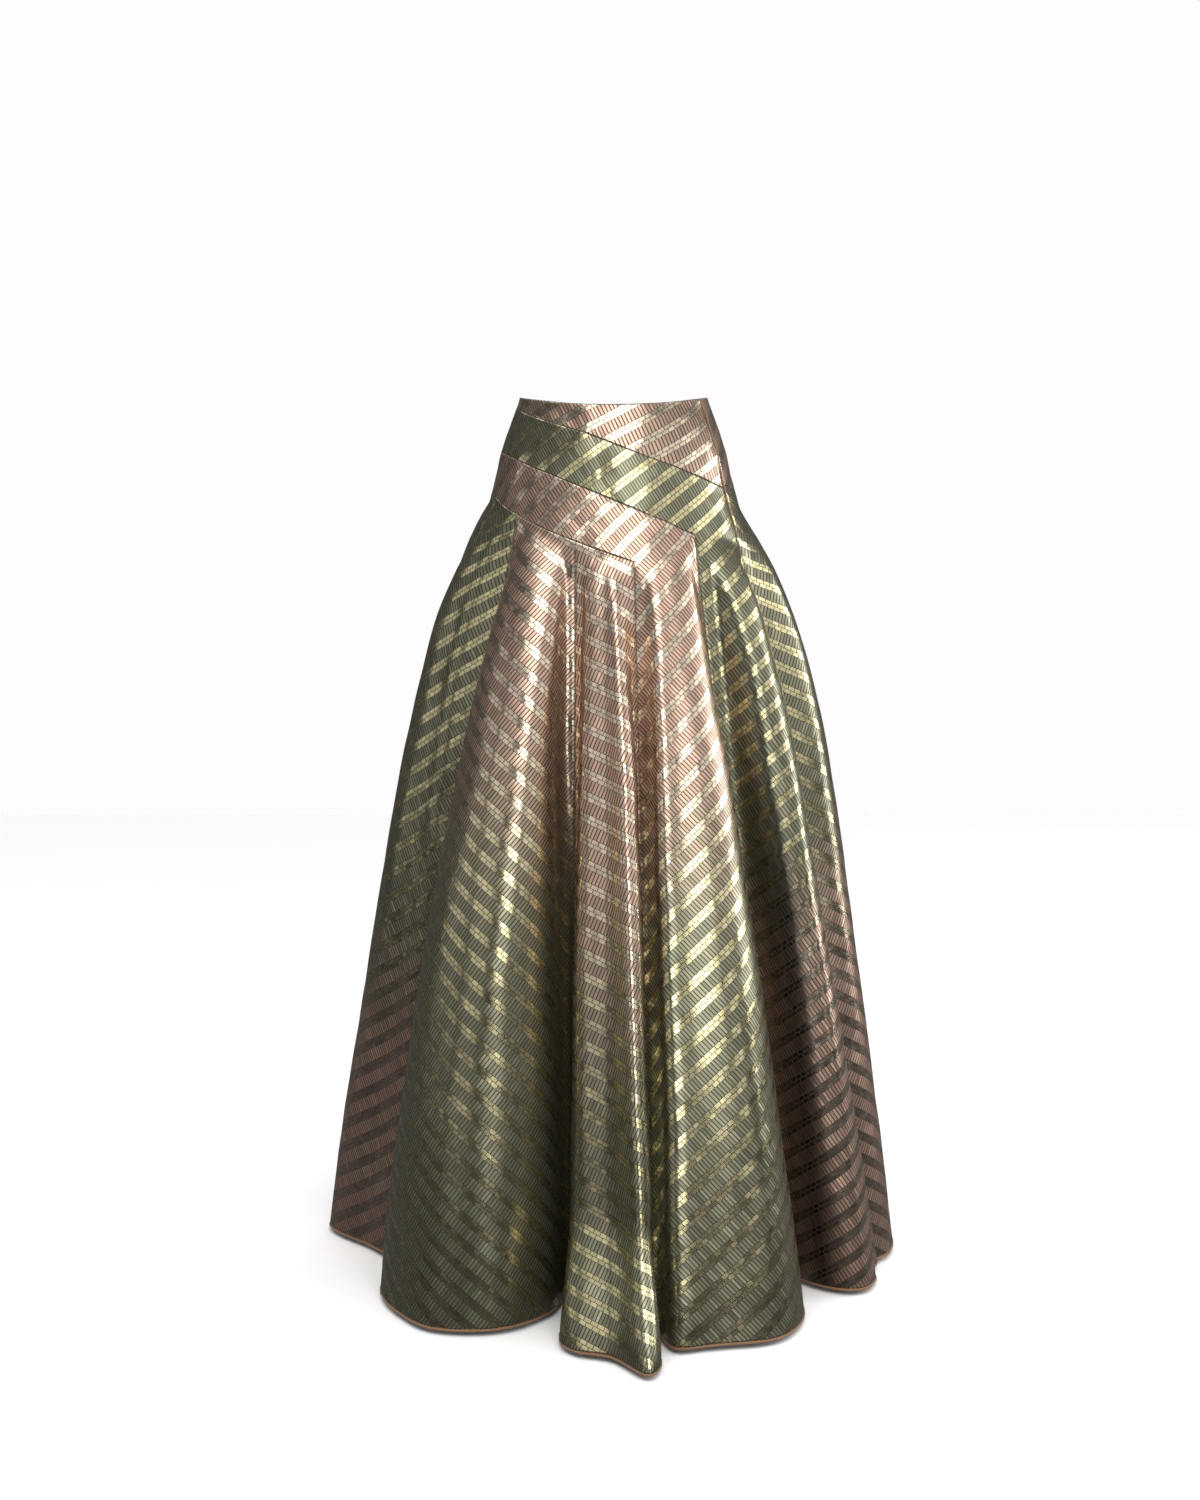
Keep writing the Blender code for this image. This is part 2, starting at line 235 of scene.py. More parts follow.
def waist_top(degrees):
    side = math.sin(math.radians(degrees)) ** 2
    return WAIST_TOP_AT_BACK + (WAIST_TOP_AT_SIDES - WAIST_TOP_AT_BACK) * side


def panel_at(around):
    """(panel number, share of the way across it, whole turns) of a place around the skirt."""
    number = math.floor(around + 1e-9)
    turns, index = divmod(number, PANEL_COUNT)
    return index, around - number, turns


def seam_value(around, field):
    """A value that each panel gives at its seam, eased from one seam to the next."""
    index, share, _ = panel_at(around)
    start = getattr(PANELS[index], field)
    end = getattr(PANELS[(index + 1) % PANEL_COUNT], field)
    return start + (end - start) * share


def yoke_degrees(around):
    index, share, turns = panel_at(around)
    start = PANELS[index].seam_top
    if index + 1 < PANEL_COUNT:
        end = PANELS[index + 1].seam_top
    else:
        end = PANELS[0].seam_top + 360
    return start + (end - start) * share + 360 * turns


def around_at(degrees):
    """The place around the skirt that lies at an angle on the yoke."""
    for index in range(-PANEL_COUNT, PANEL_COUNT):
        start, end = yoke_degrees(index), yoke_degrees(index + 1)
        if start <= degrees <= end:
            return index + (degrees - start) / (end - start)
    raise ValueError("that angle is not on the yoke")


def panel_top(around):
    return seam_value(around, "panel_top")


def fold_start(around):
    """The height at which the folds begin: a little under the panels' top edge, and lower at the zip."""
    index, share, _ = panel_at(around)
    start = panel_top(around) - FOLD_START_BELOW_SEAM
    if index == ZIP_SEAM:
        green_corner = PANELS[ZIP_SEAM - 1].panel_top - FOLD_START_BELOW_SEAM
        return green_corner + (start - green_corner) * smooth(share)
    if index == ZIP_SEAM - 1:
        return PANELS[index].panel_top - FOLD_START_BELOW_SEAM
    return start


def hem_controls():
    """Points of the hem's plan, from seam to seam, with a rounded valley floor beside each seam."""
    points = []
    for index, panel in enumerate(PANELS):
        following = PANELS[(index + 1) % PANEL_COUNT]
        points.append(valley_point(panel, 0))
        points.append(valley_point(panel, 1))
        for degrees, out in panel.fold:
            angle = math.radians(degrees)
            points.append(Vector((out * math.sin(angle), -out * math.cos(angle))))
        points.append(valley_point(following, -1))
    return points


def valley_point(panel, side):
    """The seam at the hem (side 0), or the valley floor to its left (-1) or right (1)."""
    angle = math.radians(panel.seam_hem)
    outward = Vector((math.sin(angle), -math.cos(angle)))
    across = Vector((math.cos(angle), math.sin(angle)))
    out = panel.seam_out + VALLEY_RISE * abs(side)
    return outward * out + across * (VALLEY_HALF_WIDTH * side)


HEM_CONTROLS = hem_controls()
POINTS_A_PANEL = len(HEM_CONTROLS) // PANEL_COUNT


def blend(a, b, low, high, knot):
    return a * ((high - knot) / (high - low)) + b * ((knot - low) / (high - low))


def hem_point(around):
    """The plan of the hem: a centripetal spline through the fold points, so that no fold loops."""
    place = (around % PANEL_COUNT) * POINTS_A_PANEL
    first = math.floor(place)
    a, b, c, d = (HEM_CONTROLS[(first + step) % len(HEM_CONTROLS)] for step in (-1, 0, 1, 2))
    knot_a = 0.0
    knot_b = knot_a + math.sqrt((b - a).length)
    knot_c = knot_b + math.sqrt((c - b).length)
    knot_d = knot_c + math.sqrt((d - c).length)
    knot = knot_b + (place - first) * (knot_c - knot_b)
    ab = blend(a, b, knot_a, knot_b, knot)
    bc = blend(b, c, knot_b, knot_c, knot)
    cd = blend(c, d, knot_c, knot_d, knot)
    abc = blend(ab, bc, knot_a, knot_c, knot)
    bcd = blend(bc, cd, knot_b, knot_d, knot)
    return blend(abc, bcd, knot_b, knot_c, knot)


def spring_at(around):
    """(spring, belly, flare) of the cloth there, from the seam's values to the panel's own."""
    index, share, _ = panel_at(around)
    panel = PANELS[index]
    middle = smooth(min(share, 1.0 - share) * SWING_EASE)
    seam = seam_value(around, "seam_spring")
    spring = seam + (panel.spring - seam) * middle
    return spring, panel.belly * middle, panel.flare * math.sqrt(middle)


def surface(around, height):
    """The middle of the cloth at a place around and a height."""
    start = fold_start(around)
    degrees = yoke_degrees(around)
    if height >= start:
        x, y = body_point(degrees, height)
        return Vector((x, y, height))
    top = Vector(body_point(degrees, start))
    down = (start - height) / (start - HEM_HEIGHT)
    spring, belly, flare = spring_at(around)
    swing = (1.0 - math.exp(-down / SPRING_REACH)) * (1.0 - down)
    out = down + spring * swing + belly * 4.0 * down * (1.0 - down)
    plan = top + (hem_point(around) - top) * out
    plan *= 1.0 + flare * smooth((down - FLARE_START) / (1.0 - FLARE_START))
    return Vector((plan.x, plan.y, height))


def frame_at(around, height):
    """The middle of the cloth and its outward normal."""
    across = surface(around + STEP_ROUND, height) - surface(around - STEP_ROUND, height)
    down = surface(around, height - STEP_DOWN) - surface(around, height + STEP_DOWN)
    return surface(around, height), down.cross(across).normalized()


# Creases, seams and surface relief of the worn cloth


class Crease(NamedTuple):
    """A long soft crease: where it starts and ends (place around, height), its depth and its half width."""

    start_around: float
    start_height: float
    end_around: float
    end_height: float
    depth: float
    half_width: float


CREASES = (
    Crease(1.66, -0.24, 1.58, -0.70, 0.0036, 0.016),
    Crease(1.38, -0.52, 1.32, -1.02, 0.0034, 0.020),
    Crease(1.50, -0.60, 1.46, -1.02, -0.0022, 0.018),
    Crease(1.82, -0.30, 1.78, -0.98, -0.0026, 0.018),
    Crease(1.14, -0.34, 1.12, -0.86, 0.0024, 0.022),
    Crease(2.74, -0.34, 2.68, -1.02, 0.0062, 0.016),
    Crease(2.44, -0.60, 2.38, -1.06, -0.0030, 0.018),
    Crease(2.24, -0.30, 2.26, -0.72, 0.0022, 0.018),
    Crease(3.30, -0.34, 3.28, -0.96, -0.0030, 0.024),
    Crease(3.62, -0.46, 3.70, -1.04, 0.0026, 0.026),
    Crease(4.40, -0.36, 4.46, -0.92, -0.0030, 0.020),
    Crease(5.45, -0.40, 5.50, -1.02, 0.0028, 0.026),
    Crease(0.55, -0.34, 0.46, -0.94, 0.0030, 0.024),
    Crease(0.25, -0.50, 0.20, -1.05, -0.0026, 0.022),
    Crease(6.50, -0.40, 6.42, -1.02, -0.0030, 0.026),
    Crease(7.48, -0.38, 7.55, -0.98, 0.0028, 0.026),
    Crease(8.52, -0.42, 8.45, -1.03, -0.0028, 0.024),
    Crease(9.50, -0.36, 9.58, -0.96, 0.0026, 0.022),
)

# The deep hollows, where painted shade darkens the cloth in place of the shade of the deep folds; depth is
# here the share of light lost
PAINTED_HOLLOW_SHADES = (
    Crease(4.31, -0.31, 4.31, -1.06, 0.94, 0.029),
    Crease(1.94, -0.30, 1.94, -0.94, 0.62, 0.013),
    Crease(3.05, -0.28, 3.06, -0.80, 0.45, 0.011),
)
MOST_LIGHT_LOST = 0.95

# How far a crease runs on past its ends, as a share of its length
CREASE_FADE = 0.2
FAINTEST_CREASE = math.exp(-9.0)
# A hollow fades in from its start, already a little dark there, and out past its end
HOLLOW_AT_START = 0.1
HOLLOW_FADE_IN = 0.5
HOLLOW_FADE_OUT = 0.3

PANEL_WIDTH_AT_TOP = 0.065
PANEL_WIDTH_GAIN = 0.34
SEAMS_START_ABOVE = 0.004
FOLDS_FORM_OVER = 0.12

# Smooth random waves: how quickly they change round and down the skirt, and where they start
BROAD_WAVES = (13.0, 4.0, 3.1)
FINE_WAVES = (42.0, 19.0, 7.7)
COLOUR_WAVES = (9.0, 9.0, 0.0)
BROAD_SHARE_ON_YOKE = 0.25
FINE_SHARE = 0.28
COLOUR_WANDER = 0.10

# Half widths of what lies along a panel seam: the calm cloth, the dip and the dark line, which is partly
# the seam's dark thread and partly painted shade
CALM_REACH = 0.012
DIP_REACH = 0.0028
SEAM_LINE_REACH = 0.0016
TOP_EDGE_SHADE = 0.85


def panel_width(around, height):
    """Roughly how wide the panel is at that height, measured over the cloth."""
    down = (panel_top(around) - height) / (panel_top(around) - HEM_HEIGHT)
    return PANEL_WIDTH_AT_TOP + PANEL_WIDTH_GAIN * clamp(down)


def seam_closeness(around, height, reach):
    """1 on a panel seam, falling to 0 a few times its reach away."""
    if height > fold_start(around) + SEAMS_START_ABOVE:
        return 0.0
    across = abs(around - round(around)) * panel_width(around, height)
    return math.exp(-((across / reach) ** 2))


def place_on_crease(crease, around, height):
    """How far along a crease a place is, as a share, and how strong the crease is across it."""
    share = (height - crease.start_height) / (crease.end_height - crease.start_height)
    middle = crease.start_around + (crease.end_around - crease.start_around) * share
    away = (around % PANEL_COUNT - middle) * panel_width(around, height)
    return share, math.exp(-((away / crease.half_width) ** 2))


def crease_relief(around, height):
    total = 0.0
    for crease in CREASES:
        share, strength = place_on_crease(crease, around, height)
        if strength < FAINTEST_CREASE:
            continue
        start = smooth((share + CREASE_FADE) / (2.0 * CREASE_FADE))
        end = smooth((1.0 + CREASE_FADE - share) / (2.0 * CREASE_FADE))
        total += crease.depth * start * end * strength
    return total


def painted_hollow_shade(around, height):
    """How much painted shade darkens the cloth in the deep hollows, from 0 to 1."""
    total = 0.0
    for hollow_painted_shade in PAINTED_HOLLOW_SHADES:
        share, strength = place_on_crease(hollow_painted_shade, around, height)
        start = smooth(share / HOLLOW_FADE_IN + HOLLOW_AT_START)
        end = smooth((1.0 + HOLLOW_FADE_OUT - share) / HOLLOW_FADE_OUT)
        total += hollow_painted_shade.depth * start * end * strength
    return min(MOST_LIGHT_LOST, total)


def uneven(point, per_metre_round, per_metre_down, start):
    """Smooth random relief, about -1 to 1."""
    down = point.z * per_metre_down + start
    return noise.noise(Vector((point.x * per_metre_round, point.y * per_metre_round, down)))


def relief(around, height, point):
    """How far the cloth stands off the smooth form: seams sunk in, long creases, and small unevenness."""
    shape = bpy.context.scene.lehenga_shape
    on_fold = smooth((fold_start(around) - height) / FOLDS_FORM_OVER)
    broad = uneven(point, *BROAD_WAVES)
    fine = uneven(point, *FINE_WAVES)
    pull = noise.noise(Vector((around * 3.1, 1.7, height * 55.0)))
    wave = shape.wrinkle_depth * (BROAD_SHARE_ON_YOKE + (1.0 - BROAD_SHARE_ON_YOKE) * on_fold) * broad
    wave += shape.wrinkle_depth * FINE_SHARE * fine
    wave += shape.yoke_pull_depth * (1.0 - on_fold) * pull
    calm = 1.0 - seam_closeness(around, height, CALM_REACH)
    dip = shape.seam_depth * seam_closeness(around, height, DIP_REACH)
    return (wave + crease_relief(around, height)) * calm - dip


def cloth_point(around, height):
    point, normal = frame_at(around, height)
    return point + normal * relief(around, height, point)


# How each piece is cut: its stripes and its colour


class Cut(NamedTuple):
    """How one cloth piece is cut and dyed.

    stripe_top and stripe_hem are the stripes' slopes in degrees, rising to the right. top_green and
    hem_green are how green the cloth is above change_from and below change_to, which are heights.
    flat is the width and length of the piece laid flat, and area is its flat area in square metres.
    """

    node: str
    stripe_top: float
    stripe_hem: float
    top_green: float
    hem_green: float
    change_from: float
    change_to: float
    flat: tuple
    area: float


CUT_TABLE = (
    Cut("panel_left_side", 47, 38, 1.0, 0.0, -0.60, -0.86, (0.27, 1.01), 0.20),
    Cut("panel_back_left", -30, -35, 0.0, 1.0, -0.30, -0.66, (0.50, 0.97), 0.31),
    Cut("panel_back_centre", -25, -23, 0.0, 1.0, -0.50, -0.90, (0.44, 0.97), 0.20),
    Cut("rose_band_and_panel", 43, 34, 0.0, 1.0, -0.36, -0.66, (0.53, 1.05), 0.26),
    Cut("green_band_and_panel", 30, 22, 1.0, 0.0, -0.48, -0.74, (0.46, 1.10), 0.19),
    Cut("panel_right_side", -40, -42, 1.0, 0.0, -0.44, -0.72, (0.30, 1.01), 0.24),
    Cut("panel_front_right", 38, 34, 0.0, 1.0, -0.40, -0.74, (0.38, 1.01), 0.28),
    Cut("panel_front_centre", -36, -32, 0.0, 1.0, -0.42, -0.78, (0.40, 1.01), 0.29),
    Cut("panel_front_left", 36, 32, 0.0, 1.0, -0.40, -0.74, (0.38, 1.00), 0.27),
    Cut("panel_left_front", -40, -34, 1.0, 0.0, -0.52, -0.80, (0.22, 1.00), 0.17),
    Cut("yoke_wedge_back", 29, 29, 0.15, 0.15, -0.50, -0.60, (0.34, 0.11), 0.015),
    Cut("yoke_green_front", 33, 33, 1.0, 1.0, -0.50, -0.60, (0.19, 0.067), 0.0050),
    Cut("yoke_rose_front", 32, 32, 0.1, 0.1, -0.50, -0.60, (0.48, 0.12), 0.045),
)
CUTS = {cut.node: cut for cut in CUT_TABLE}

# Shares of a panel's width and height at which its first columns and rows lie
EDGE_SHARES = (0.0012, 0.008, 0.018, 0.032, 0.052)
TOP_ROWS = (0.006, 0.016, 0.03, 0.05)
YOKE_COLUMNS = 26
BAND_ROWS = 8
# The height of the narrow rows along the edges
EDGE_ROW = 0.0016
# How far down the stripes have turned from their top slope to their hem slope
STRIPES_TURN_OVER = 1.1


def evenly(top, bottom, rows):
    return [top + (bottom - top) * row / rows for row in range(rows + 1)]


def edged(heights):
    """The heights with a narrow row added beside the first and the last, so that the edges stay crisp."""
    inset = min(EDGE_ROW, 0.1 * (heights[0] - heights[-1]))
    return [heights[0], heights[0] - inset, *heights[1:-1], heights[-1] + inset, heights[-1]]


def panel_shares():
    """Shares of the way across a panel, closer together beside its seams."""
    count = bpy.context.scene.lehenga_shape.panel_columns
    left = list(EDGE_SHARES)
    right = [1.0 - share for share in reversed(left)]
    return left + evenly(left[-1], right[0], count)[1:-1] + right


def panel_rows():
    rows = bpy.context.scene.lehenga_shape.panel_rows
    return list(TOP_ROWS) + evenly(TOP_ROWS[-1], 1.0, rows)[1:]


def panel_column(around, rows):
    """Heights down a panel from its top edge to the hem binding."""
    start = fold_start(around)
    bottom = HEM_HEIGHT + TAPE_HEIGHT + SEAM_GAP / 2
    top = panel_top(around) - SEAM_GAP / 2
    return edged([top, start, *(start + (bottom - start) * share for share in rows)])


def add_object(name, data):
    piece = bpy.data.objects.new(name, data)
    bpy.context.scene.collection.objects.link(piece)
    return piece


def mesh_object(name, shape):
    mesh = bpy.data.meshes.new(name)
    shape.to_mesh(mesh)
    shape.free()
    return add_object(name, mesh)


class Cloth:
    """A cloth piece being laid out: columns of heights, which need not all reach as far down."""

    def __init__(self, node):
        self.cut = CUTS[node]
        self.columns = []

    def add(self, around, heights):
        self.columns.append((around, heights))

    def build(self, middle):
        """The mesh, with its stripes laid flat from the column nearest the middle, and its colours."""
        cut = self.cut
        points = [[cloth_point(around, height) for height in heights] for around, heights in self.columns]
        flat = self.lay_flat(points, middle)
        shape = bmesh.new()
        cut_map = shape.loops.layers.uv.new("cut")
        green = shape.verts.layers.float.new("green")
        seam = shape.verts.layers.float.new("seam")
        hollow_painted_shade = shape.verts.layers.float.new("hollow_painted_shade")
        verts = []
        place = {}
        for i, (around, heights) in enumerate(self.columns):
            line = []
            for j, height in enumerate(heights):
                vert = shape.verts.new(points[i][j])
                vert[green] = self.greenness(points[i][j])
                # The dark seam line: partly the seam's thread, partly painted shade of the groove and the
                # edge's step
                vert[seam] = self.seam_shade(around, height, j)
                # Painted shade: how much the cloth's colour is darkened in the deep hollows
                vert[hollow_painted_shade] = painted_hollow_shade(around, height)
                place[vert] = self.stripe_place(flat[i][j])
                line.append(vert)
            verts.append(line)
        for left, right in zip(verts, verts[1:]):
            for j in range(min(len(left), len(right)) - 1):
                face = shape.faces.new((left[j], left[j + 1], right[j + 1], right[j]))
                face.smooth = True
                for loop in face.loops:
                    loop[cut_map].uv = place[loop.vert]
        return mesh_object(cut.node + "_cloth", shape)

    def lay_flat(self, points, middle):
        """(across, down) of every point over the cloth, in metres: across from the middle column."""
        arounds = [around for around, _ in self.columns]
        start = min(range(len(arounds)), key=lambda i: abs(arounds[i] - middle))
        across = [[0.0] * len(line) for line in points]
        for step in (1, -1):
            i = start + step
            while 0 <= i < len(points):
                for j in range(min(len(points[i]), len(points[i - step]))):
                    gap = (points[i][j] - points[i - step][j]).length
                    across[i][j] = across[i - step][j] + step * gap
                i += step
        flat = []
        for i, line in enumerate(points):
            down = -line[0].z
            column = [(across[i][0], down)]
            for j in range(1, len(line)):
                down += (line[j] - line[j - 1]).length
                column.append((across[i][j], down))
            flat.append(column)
        return flat

    def stripe_place(self, flat):
        """A point's place along and across the stripes."""
        across, down = flat
        share = clamp(down / STRIPES_TURN_OVER)
        middle = math.radians((self.cut.stripe_top + self.cut.stripe_hem) / 2)
        slope = math.radians(self.cut.stripe_top + (self.cut.stripe_hem - self.cut.stripe_top) * share)
        along = across * math.cos(middle) - down * math.sin(middle)
        return along, (down + math.tan(slope) * across) * math.cos(middle)

    def greenness(self, point):
        cut = self.cut
        wander = COLOUR_WANDER * uneven(point, *COLOUR_WAVES)
        share = smooth((cut.change_from - point.z) / (cut.change_from - cut.change_to) + wander)
        return cut.top_green + (cut.hem_green - cut.top_green) * share

    def seam_shade(self, around, height, row):
        """How dark the seam line makes the cloth along panel seams and the piece's top edge: partly the
        seam's dark thread, partly painted shade of the seam's groove and the edge's step.
        """
        shade = seam_closeness(around, height, SEAM_LINE_REACH)
        return max(shade, TOP_EDGE_SHADE) if row == 0 else shade


def thicken(piece):
    """The cloth's own thickness, with its reverse inside."""
    wall = piece.modifiers.new("cloth_wall", "SOLIDIFY")
    wall.thickness = bpy.context.scene.lehenga_shape.cloth_thickness
    wall.offset = 0.0
    wall.use_even_offset = False
    wall.material_offset = 1


def place_cloth(piece, cut, *nodes):
    """Dresses the frame's plain solid with the finished cloth."""
    piece.data.materials.append(finish("metallic_tile_cloth", tile_cloth))
    piece.data.materials.append(finish("cloth_reverse", cloth_reverse))
    thicken(piece)
    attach(piece, "root")
    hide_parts(*nodes)


def make_panel(index):
    node = PANELS[index].name
    cloth = Cloth(node)
    rows = panel_rows()
    for share in panel_shares():
        cloth.add(index + share, panel_column(index + share, rows))
    place_cloth(cloth.build(index + 0.5), cloth.cut, node)


def wedge_line(around):
    return along_line(WEDGE_SEAM, yoke_degrees(around))


def band_line(around):
    """The seam under the green band, which runs out into the waist edge at its far end."""
    degrees = yoke_degrees(around)
    return min(along_line(BAND_SEAM, degrees), waist_top(degrees))


def yoke_places(start, end):
    count = max(2, round((end - start) * YOKE_COLUMNS))
    return evenly(start, end, count)


def band_column(top, bottom):
    """Heights down a yoke band between two seams."""
    return edged(evenly(top - SEAM_GAP / 2, bottom + SEAM_GAP / 2, BAND_ROWS))


def make_banded_panel(node, index, start, upper, lower):
    """A yoke band that sweeps down into a panel, cut in one piece with it."""
    cloth = Cloth(node)
    for around in yoke_places(start, index)[:-1]:
        cloth.add(around, band_column(upper(around), lower(around)))
    rows = panel_rows()
    for share in panel_shares():
        around = index + share
        band_bottom = fold_start(around) + FOLD_START_BELOW_SEAM * (1.0 - share)
        band = edged(evenly(upper(around) - SEAM_GAP / 2, band_bottom, BAND_ROWS))
        cloth.add(around, band + panel_column(around, rows)[2:])
    place_cloth(cloth.build(index + 0.5), cloth.cut, node)


def make_yoke_band(node, stretches):
    """A yoke piece over one or more stretches, each (start, end, upper seam, lower seam)."""
    cloth = Cloth(node)
    for number, (start, end, upper, lower) in enumerate(stretches):
        for around in yoke_places(start, end)[bool(number):]:
            cloth.add(around, band_column(upper(around), lower(around)))
    middle = (stretches[0][0] + stretches[-1][1]) / 2
    place_cloth(cloth.build(middle), cloth.cut, node)


def top_edge(around):
    return waist_top(yoke_degrees(around))


# Finishes


STRIPE_SHIFT = 0.37
BRICK_END_GAP = 0.13
TALL_END_GAP = 0.04
BRICK_METAL = 0.985
THREAD_ROUGHNESS = 0.75
SEAM_STRENGTH = 0.85
COAT_WEIGHT = 0.25
COAT_ROUGHNESS = 0.24
# How much the tiles differ in roughness and in where they turn green
ROUGHNESS_RANGE = 0.06
GREEN_RANGE = 0.25
# The least brightness, and how much more there can be, of each tile and of each broad patch
TILE_BRIGHTNESS = (0.80, 0.30)
PATCH_BRIGHTNESS = (0.85, 0.30)


class Nodes:
    """A small helper that adds shader nodes to a tree and links them."""

    def __init__(self, tree):
        self.tree = tree

    def add(self, kind, **values):
        node = self.tree.nodes.new(kind)
        for name, value in values.items():
            setattr(node, name, value)
        return node

    def put(self, socket, value):
        """Links a socket to another's output, or sets it to a plain value."""
        if isinstance(value, bpy.types.NodeSocket):
            self.tree.links.new(value, socket)
        elif value is not None:
            socket.default_value = value

    def math(self, operation, *values, clamp=False):
        node = self.add("ShaderNodeMath", operation=operation, use_clamp=clamp)
        for socket, value in zip(node.inputs, values):
            self.put(socket, value)
        return node.outputs[0]

    def mix(self, factor, a, b, kind="FLOAT"):
        node = self.add("ShaderNodeMix", data_type=kind)
        sockets = {"FLOAT": (2, 3, 0), "RGBA": (6, 7, 2)}[kind]
        self.put(node.inputs[0], factor)
        self.put(node.inputs[sockets[0]], a)
        self.put(node.inputs[sockets[1]], b)
        return node.outputs[sockets[2]]

    def colour(self, factor, a, b):
        return self.mix(factor, a, b, "RGBA")

    def vector(self, x, y, z):
        node = self.add("ShaderNodeCombineXYZ")
        for socket, value in zip(node.inputs, (x, y, z)):
            self.put(socket, value)
        return node.outputs[0]

    def split(self, vector):
        node = self.add("ShaderNodeSeparateXYZ")
        self.put(node.inputs[0], vector)
        return node.outputs

    def attribute(self, name):
        return self.add("ShaderNodeAttribute", attribute_name=name).outputs["Fac"]

    def noise(self, vector, scale, detail=2.0):
        node = self.add("ShaderNodeTexNoise")
        self.put(node.inputs["Vector"], vector)
        node.inputs["Scale"].default_value = scale
        node.inputs["Detail"].default_value = detail
        return node.outputs["Fac"]

    def scaled(self, colour, factor):
        node = self.add("ShaderNodeVectorMath", operation="SCALE")
        self.put(node.inputs[0], colour)
        self.put(node.inputs["Scale"], factor)
        return node.outputs[0]

    def bump(self, height, strength, distance):
        node = self.add("ShaderNodeBump")
        for name, value in (("Height", height), ("Strength", strength), ("Distance", distance)):
            self.put(node.inputs[name], value)
        return node.outputs[0]

    def eased(self, value, start, end, at_start, at_end):
        """A value eased from one result to another between two places."""
        node = self.add("ShaderNodeMapRange", interpolation_type="SMOOTHSTEP")
        for socket, number in zip(node.inputs, (value, start, end, at_start, at_end)):
            self.put(socket, number)
        return node.outputs["Result"]


def opaque(colour):
    return (*colour, 1.0)


def finish(name, describe):
    """The material of that name. When it is first used, describe gives what goes into its sockets."""
    material = bpy.data.materials.get(name)
    if material is None:
        material = bpy.data.materials.new(name)
        material.use_nodes = True
        nodes = Nodes(material.node_tree)
        surface = nodes.tree.nodes["Principled BSDF"].inputs
        for socket, value in describe(nodes).items():
            nodes.put(surface[socket], value)
    return material


